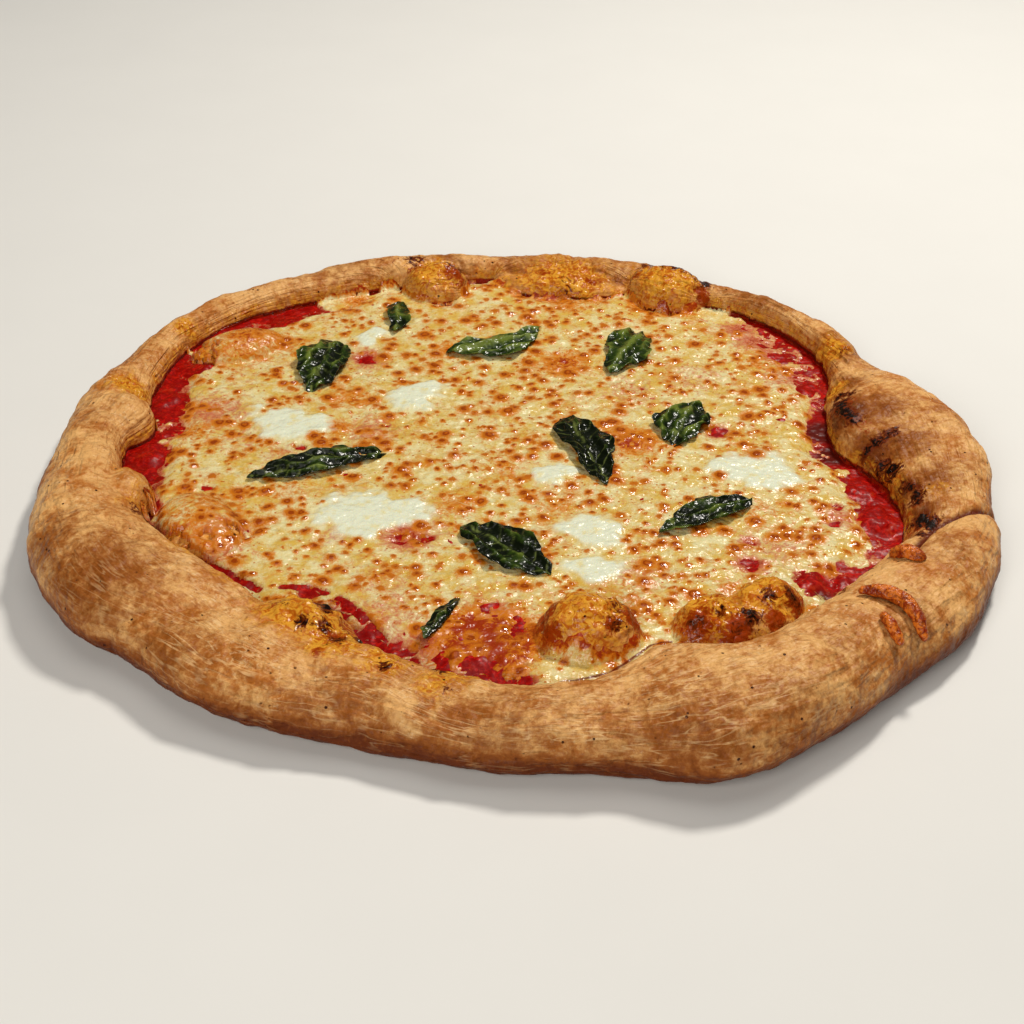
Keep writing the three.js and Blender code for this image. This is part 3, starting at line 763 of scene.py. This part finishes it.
def make_crust():
    """The dough's skin with lumps, wrinkles, flakes and blistered places pressed into it."""
    points, normals, faces, foot = crust_skin()
    flow = rim_flow(points, rim_core(points))
    at = bearing(points)
    outside = distance(points) - foot(at)
    x, y = points[:, 0], points[:, 1]
    golden = spotted(x, y, GOLDEN)
    wrinkled = front_share(at) * smoothstep(0.8, 0.3, golden)
    smothered = spotted(x, y, SMOTHERED) * smoothstep(4, -2, outside)
    charred = np.maximum(spotted(x, y, CHARRED), near_lines(x, y, CHAR_LINES))
    creases = near_lines(x, y, CREASES)
    long_wrinkles = ridges(stretched(flow, 26, 3.4), 1, 3) * wrinkled
    short_wrinkles = ridges(stretched(flow, 9, 2.8), 1, 4)
    lumps = noise(points, 17, 5) + 0.6 * noise(points, 8, 6)
    relief = 0.9 * lumps - 0.9 * long_wrinkles**2 - 0.3 * short_wrinkles**2 + 0.25 * noise(points, 3.2, 7)
    blistered = 1.8 * noise(points, 8, 8) + 0.9 * ridges(points, 6, 9) + 0.6 * noise(points, 3.4, 21) - 0.3
    relief += golden * blistered
    relief -= 2.6 * creases
    relief += charred * (0.9 * ridges(points, 7, 10) + 0.4 * noise(points, 2.6, 12) - 0.3)
    relief = relief * (1 - smothered) - 1.4 * smothered
    relief *= smoothstep(0, 3, points[:, 2])
    points = points + normals * relief[:, None]
    points[:, 2] = np.maximum(points[:, 2], 0.05)

    mesh = build_mesh("crust_skin", points, faces)
    inner = smoothstep(10, 1, outside) * smoothstep(22, 12, points[:, 2])
    # Painted shade: the rim's outer face gets darker towards the bottom, near the floor.
    low = smoothstep(22, 5, points[:, 2]) * smoothstep(2, 10, outside)
    paint(
        mesh,
        # Browned places, with painted shade low on the rim's outer face.
        toasted=np.maximum(spotted(x, y, TOASTED_AND_SHADED), 1.4 * low),
        golden=np.maximum(golden, 0.6 * inner),
        charred=charred,
        scalded=spotted(x, y, SCALDED),
        # Where the creases are, for painted shade along them.
        crease=creases,
        wrinkled=wrinkled * (1 - 0.8 * low),
        flow=np.column_stack(flow),
        stain=0.9 * smoothstep(4, 0, outside) * smoothstep(13, 8, points[:, 2]),
    )
    mesh.materials.append(dough_look())
    add_piece("crust_skin", mesh, "crust", "crust")
    make_underside(foot)


def make_underside(foot):
    """The flat baked underside, a disc that closes the skin from below."""
    steps = 120
    rings = 10
    height = 0.1
    at = np.arange(steps) * 360 / steps
    radius = foot(at) + 12
    points = [(0, 0, height)]
    for ring in range(1, rings + 1):
        for angle, reach in zip(np.radians(at), radius * (ring / rings)):
            points.append((reach * math.cos(angle), reach * math.sin(angle), height))
    faces = [(0, 1 + (k + 1) % steps, 1 + k) for k in range(steps)]
    for low in range(1, 1 + (rings - 1) * steps, steps):
        for k in range(steps):
            after = (k + 1) % steps
            faces.append((low + k, low + after, low + steps + after, low + steps + k))
    points = np.array(points)
    mesh = bpy.data.meshes.new("crust_underside")
    mesh.from_pydata(to_scene(points).tolist(), [], faces)
    mesh.flip_normals()
    toasted = 0.5 + 0.3 * noise(points, 20, 31)
    charred = 0.25 + 0.3 * noise(points, 12, 32)
    none = np.zeros(len(points))
    paint(mesh, toasted=toasted, golden=none, charred=charred, scalded=none)
    paint(mesh, crease=none, wrinkled=none, flow=points, stain=none)
    mesh.materials.append(bpy.data.materials["baked_dough"])
    add_piece("crust_underside", mesh, "crust", "crust")


# Topping
class Topping:
    """The topping on a square grid: how much cheese covers each place, and how high it lies."""

    def __init__(self, cell):
        self.sauce_edge = outline(node_points("sauce"))
        self.cheese_edge = outline(node_points("cheese"))
        line = np.arange(-GRID_REACH, GRID_REACH + cell, cell)
        self.count = len(line)
        x, y = np.meshgrid(line, line)
        self.x, self.y = x.ravel(), y.ravel()
        self.flat = np.column_stack([self.x, self.y, np.zeros(len(self.x))])
        self.at = bearing(self.flat)
        self.radius = distance(self.flat)
        self.inset = self.cheese_edge(self.at) - self.radius
        self.cover = self.find_cover()
        rise = smoothstep(-1, 10, self.inset + 2 * noise(self.flat, 14, 11))
        self.level = BARE_LEVEL + (FULL_LEVEL - BARE_LEVEL) * rise - 0.4 * self.marks(SAUCE_SPOTS)
        self.level += 0.35 * noise(self.flat, 24, 12) + 0.3 * noise(self.flat, 10, 13)
        self.dough = height_under(surface_tree("crust"), self.x, self.y)

    def find_cover(self):
        """1 under whole cheese and 0 over bare sauce, with a ragged and stringy edge between them."""
        ragged = 3.2 * noise(self.flat, 11, 14) + 1.6 * noise(self.flat, 4.5, 15)
        cover = smoothstep(-4, 6, self.inset + ragged)
        torn = noise(self.flat, 5, 17) + 0.8 * noise(self.flat, 2.6, 18)
        bridges = self.marks(CHEESE_BRIDGES) * (1 + 0.35 * torn)
        cover = np.maximum(cover, smoothstep(0.35, 0.75, bridges))
        bare = self.marks(SAUCE_SPOTS) * (1 + 0.5 * torn)
        bare = np.maximum(bare, near_lines(self.x, self.y, SAUCE_LINES) * (1 + 0.3 * torn))
        cover = cover - 1.1 * smoothstep(0.2, 0.75, bare)
        strings = smoothstep(0.74, 0.95, ridges(self.flat, 6.5, 19)) * smoothstep(-9, 0, self.inset)
        across = np.column_stack([150 * np.radians(self.at) / 12, self.radius / 4.2, self.at * 0])
        shreds = np.maximum(ridges(across, 1, 22), ridges(self.flat, 5, 23))
        shredded = self.marks(SHREDDED) + 0.3 * noise(self.flat, 9, 24)
        shreds = smoothstep(0.5, 0.75, shreds) * smoothstep(0.2, 0.6, shredded)
        shreds *= smoothstep(0.5, 3, self.sauce_edge(self.at) - self.radius)
        strings = np.maximum(strings, shreds)
        return np.clip(np.maximum(cover, 0.66 * strings) - 0.12 * np.clip(torn, 0, 1), 0, 1)

    def marks(self, spots):
        """The strength of a table's marks at each place of the grid."""
        return spotted(self.x, self.y, spots)

    def sheet(self, name, height):
        """A mesh as wide as the sauce and at these heights, and which places of the grid it uses."""
        n = self.count
        first = (np.arange(n - 1)[:, None] * n + np.arange(n - 1)[None, :]).ravel()
        quads = np.column_stack([first, first + 1, first + n + 1, first + n])
        kept = self.radius < self.sauce_edge(self.at) + SHEET_MARGIN
        used, faces = renumber(quads[kept[quads].all(axis=1)])
        points = np.column_stack([self.x, self.y, height])[used]
        return build_mesh(name, points, faces), used


def brown_spots(topping, white):
    """Places, sizes and strengths of the brown blisters, in crowds, and hardly any on the white pools."""
    rng = np.random.default_rng(41)
    places = rng.uniform(-SPOT_REACH, SPOT_REACH, (SPOT_TRIES, 2))
    flat = np.column_stack([places, np.zeros(len(places))])
    crowd = 0.6 + 0.6 * noise(flat, 22, 42) + 0.4 * noise(flat, 9, 43)
    inside = topping.cheese_edge(bearing(flat)) - np.hypot(*places.T) > 1
    cell = topping.x[1] - topping.x[0]
    column = np.round((places[:, 0] - topping.x[0]) / cell).astype(int)
    row = np.round((places[:, 1] - topping.y[0]) / cell).astype(int)
    nearest = np.clip(row * topping.count + column, 0, len(white) - 1)
    pale = spotted(places[:, 0], places[:, 1], PALE_SPOTS)
    calm = (1 - white[nearest]) ** 3 * topping.cover[nearest] * (1 - pale)
    chosen = inside & (rng.random(len(places)) < 0.95 * np.clip(crowd, 0.15, 1) * calm)
    places = places[chosen]
    size = 0.9 + 1.8 * rng.random(len(places)) ** 1.8
    strength = rng.uniform(0.45, 1.15, len(places))
    apart = []
    for index, place in enumerate(places):
        away = np.hypot(*(places[apart] - place).T)
        if not np.any(away < 0.85 * (size[apart] + size[index])):
            apart.append(index)
    return places[apart], size[apart], strength[apart]


def paint_spots(topping, places, size, strength):
    """The nearness of each grid place to a blister, for its brown middle and its golden ring."""
    n = topping.count
    warp_x = topping.x + 0.7 * noise(topping.flat, 3, 44)
    warp_y = topping.y + 0.7 * noise(topping.flat, 3, 46)
    warp_x, warp_y = warp_x.reshape(n, n), warp_y.reshape(n, n)
    spot = np.zeros((n, n))
    halo = np.zeros((n, n))
    cell = topping.x[1] - topping.x[0]
    for (x, y), reach, force in zip(places, size, strength):
        column = int((x - topping.x[0]) / cell)
        row = int((y - topping.y[0]) / cell)
        wide = int(3 * reach / cell) + 2
        window = (slice(max(row - wide, 0), row + wide + 1), slice(max(column - wide, 0), column + wide + 1))
        away = np.hypot(warp_x[window] - x, warp_y[window] - y) / reach
        spot[window] = np.maximum(spot[window], force * np.clip(1.15 - 0.75 * away, 0, 1))
        halo[window] = np.maximum(halo[window], force * np.clip(1 - away / 2.8, 0, 1))
    return spot.ravel(), halo.ravel()


def whiteness(topping):
    """How far into a pool of fresh mozzarella each place lies, with a wavering edge."""
    field = np.zeros(len(topping.x))
    waver = 0.42 * noise(topping.flat, 10, 51) + 0.24 * noise(topping.flat, 4, 52)
    pools = [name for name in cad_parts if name.startswith("fresh_mozzarella")]
    for name in pools:
        points = node_points(name)
        middle = (points.min(axis=0) + points.max(axis=0)) / 2
        away = topping.flat - middle * (1, 1, 0)
        share = distance(away) / outline(points - middle, 20)(bearing(away))
        field = np.maximum(field, smoothstep(1.4, 0.6, share + waver))
    return field, pools


def make_cheese(topping):
    """The melted sheet with its pools of mozzarella, browned blisters, and skirts on the dough blisters."""
    white, pools = whiteness(topping)
    places, size, strength = brown_spots(topping, white)
    spot, halo = paint_spots(topping, places, size, strength)
    height = topping.level + CHEESE_STEP * (topping.cover - 0.5)
    height += (0.5 * noise(topping.flat, 8, 61) + 0.4 * noise(topping.flat, 3.6, 62)) * (1 - 0.7 * white)
    bulge = 0.65 * np.clip(spot, 0, 1) + 0.9 * smoothstep(0, 1, white)
    height += bulge - 1.6 * smoothstep(0.32, 0, topping.cover)
    climb = topping.dough - height
    smothered = topping.marks(SMOTHERED)
    film = 0.7 - 0.4 * climb * (1 - smothered) + 0.9 * noise(topping.flat, 7, 63)
    film = np.minimum(film + 0.5 * noise(topping.flat, 3, 64) + 2 * smothered, 1.1)
    on_dough = (climb > -0.5) & (topping.cover > 0.3)
    height = np.where(on_dough, np.maximum(height, topping.dough + film), height)
    mesh, used = topping.sheet("melted_cheese", height)
    edge = 1.1 * smoothstep(0.95, 0.45, topping.cover)
    lapping = np.where(climb > 0, smoothstep(0.7, 0, film), 0)
    oil = np.maximum(topping.marks(OILY_SPOTS), np.clip(0.3 * climb, 0, 0.9) * (1 - 0.6 * smothered))
    gap = topping.sauce_edge(topping.at) - topping.radius + 0.9 * noise(topping.flat, 5, 65)
    front = smoothstep(84, 60, turned_from(topping.at, SEAM_BEARING))
    fields = {
        "scalded": topping.marks(SCALDED),
        "spot": spot,
        "halo": halo,
        "white": white,
        "thin": np.maximum(topping.marks(THIN_SPOTS), edge),
        "oil": np.maximum(oil * (1 - topping.marks(PALE_SPOTS)), lapping),
        "charred": np.maximum(topping.marks(CHARRED), near_lines(topping.x, topping.y, CHAR_LINES)),
        # Painted shade: a dark line where the cheese meets the front rim, and along the creases.
        "crease": np.maximum(front * smoothstep(1.7, 0.4, gap), near_lines(topping.x, topping.y, CREASES)),
    }
    paint(mesh, **{name: values[used] for name, values in fields.items()})
    mesh.materials.append(cheese_look())
    add_piece("melted_cheese", mesh, "cheese", "cheese", *pools)


def make_sauce(topping):
    """The sauce, which shows in a ragged band round the cheese and here and there through it."""
    height = topping.level + 0.9 * noise(topping.flat, 7, 71) + 0.4 * noise(topping.flat, 3.4, 72)
    for x, y, size, rise in SAUCE_LUMPS:
        away = np.hypot(topping.x - x, topping.y - y) + 2.5 * noise(topping.flat, 7, 73)
        height += rise * smoothstep(1.1 * size, 0.3 * size, away)
    mesh, used = topping.sheet("tomato_sauce", height)
    paint(mesh, scorched=topping.marks(SCORCHED_AND_SHADED)[used])
    mesh.materials.append(sauce_look())
    add_piece("tomato_sauce", mesh, "sauce", "sauce")


# Leaves and drips
def refined(node):
    """A CAD node's mesh with its triangles joined to quads, subdivided and smoothed."""
    cage = bmesh.new()
    cage.from_mesh(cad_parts[node].data)
    bmesh.ops.remove_doubles(cage, verts=cage.verts, dist=0.01 * MM)
    bmesh.ops.join_triangles(cage, faces=cage.faces, angle_face_threshold=1.2, angle_shape_threshold=1.8)
    mesh = bpy.data.meshes.new(node + "_cage")
    cage.to_mesh(mesh)
    cage.free()
    return evaluated_mesh(mesh, ("SUBSURF", {"levels": LEAF_LEVELS, "render_levels": LEAF_LEVELS}))


def make_leaf(name, look, seed, pale):
    """A wilted leaf from its CAD slab: folded along its length, crumpled, and frayed at the edge."""
    mesh = refined(name)
    points = mesh_points(mesh)
    spread = points[:, :2] - points[:, :2].mean(axis=0)
    ahead = np.linalg.svd(spread, full_matrices=False)[2][0]
    along = spread @ ahead
    across = spread @ np.array([-ahead[1], ahead[0]])
    warped = across + 2.2 * noise(points, 11, seed) + 0.12 * along
    fold = 1 - np.abs(np.sin(np.pi * warped / 6.5))
    vein = np.exp(-((across / 0.5) ** 2)) + 0.7 * np.exp(-((((along - np.abs(across)) % 6 - 3) / 0.35) ** 2))
    crumple = 1.1 * noise(points, 8, seed + 1) + 1.1 * fold + 0.25 * noise(points, 3, seed + 2)
    points[:, 2] += 1.3 * crumple - 0.1
    for shift, size, first in ((1.1, 6, seed + 3), (0.6, 2.5, seed + 5)):
        sideways = [noise(points, size, first), noise(points, size, first + 1)]
        points[:, :2] += shift * np.stack(sideways, axis=1)
    # The height of the folds, which the colour uses for painted light on their tops and painted shade in
    # their hollows.
    paint(mesh, fold=np.clip(0.5 * crumple, 0, 1), vein=np.clip(vein, 0, 1), pale=np.full(len(points), pale))
    reshape_mesh(mesh, points, look)
    add_piece(name + "_leaf", mesh, "basil", name)


def make_drip(name, look, seed):
    """A browned drip of cheese from its CAD solid, rounded and made lumpy."""
    remesh = ("REMESH", {"mode": "VOXEL", "voxel_size": DRIP_CELL * MM})
    smooth = ("SMOOTH", {"factor": 0.5, "iterations": 10})
    mesh = evaluated_mesh(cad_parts[name].data.copy(), remesh, smooth)
    points = mesh_points(mesh)
    relief = 0.5 * noise(points, 4, seed) + 0.2 * noise(points, 1.6, seed + 1)
    reshape_mesh(mesh, points + mesh_normals(mesh) * relief[:, None], look)
    add_piece(name + "_skin", mesh, "browned_cheese", name)


# Stage
def make_floor():
    """The plain floor that the pizza lies on."""
    bpy.ops.mesh.primitive_plane_add(size=6)
    floor = bpy.context.object
    floor.name = "floor"
    floor.data.materials.append(floor_look())


def add_light(name, place, size, power, colour):
    """A round soft light that looks at the pizza. Places and sizes are in metres, and the power in watts."""
    light = bpy.data.lights.new(name, "AREA")
    light.shape = "DISK"
    light.size = size
    light.energy = power
    light.color = colour
    lamp = bpy.data.objects.new(name, light)
    lamp.location = place
    lamp.rotation_euler = (-Vector(place)).to_track_quat("-Z", "Y").to_euler()
    bpy.context.scene.collection.objects.link(lamp)


def make_light():
    """A warm key light from behind, a broad fill from the front, one overhead, and a faint even light."""
    add_light("key", (0.45, 0.62, 1.15), 0.22, 14.2, (1, 0.96, 0.88))
    add_light("fill", (-0.4, -1.3, 0.9), 0.8, 13.2, (1, 0.97, 0.91))
    add_light("overhead", (0, 0.1, 1.7), 1.2, 4.7, (1, 0.98, 0.94))
    world = bpy.data.worlds.new("studio")
    world.use_nodes = True
    background = world.node_tree.nodes["Background"]
    background.inputs["Color"].default_value = (1, 1, 1, 1)
    background.inputs["Strength"].default_value = 0.06
    bpy.context.scene.world = world
    bpy.context.scene.view_settings.view_transform = "Standard"


def make_camera():
    """The camera at the photograph's viewing angle."""
    data = bpy.data.cameras.new("camera")
    data.lens = CAMERA_LENS
    data.sensor_width = CAMERA_SENSOR
    camera = bpy.data.objects.new("camera", data)
    camera.location = [value * MM for value in CAMERA_PLACE]
    down = Euler((math.radians(90 - CAMERA_DOWN), 0, 0)).to_matrix()
    roll = Euler((0, 0, math.radians(CAMERA_ROLL))).to_matrix()
    camera.rotation_euler = (down @ roll).to_euler()
    bpy.context.scene.collection.objects.link(camera)
    bpy.context.scene.camera = camera


make_camera()
make_light()
make_floor()
make_crust()
cheese_grid = Topping(CHEESE_CELL)
make_cheese(cheese_grid)
make_sauce(Topping(SAUCE_CELL))
basil = basil_look()
browned = drip_look()
for order, name in enumerate(sorted(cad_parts)):
    if name.startswith("basil"):
        make_leaf(name, basil, 100 + 10 * order, LEAF_PALENESS.get(name, 0))
    if name.startswith("browned_cheese"):
        make_drip(name, browned, 400 + 10 * order)
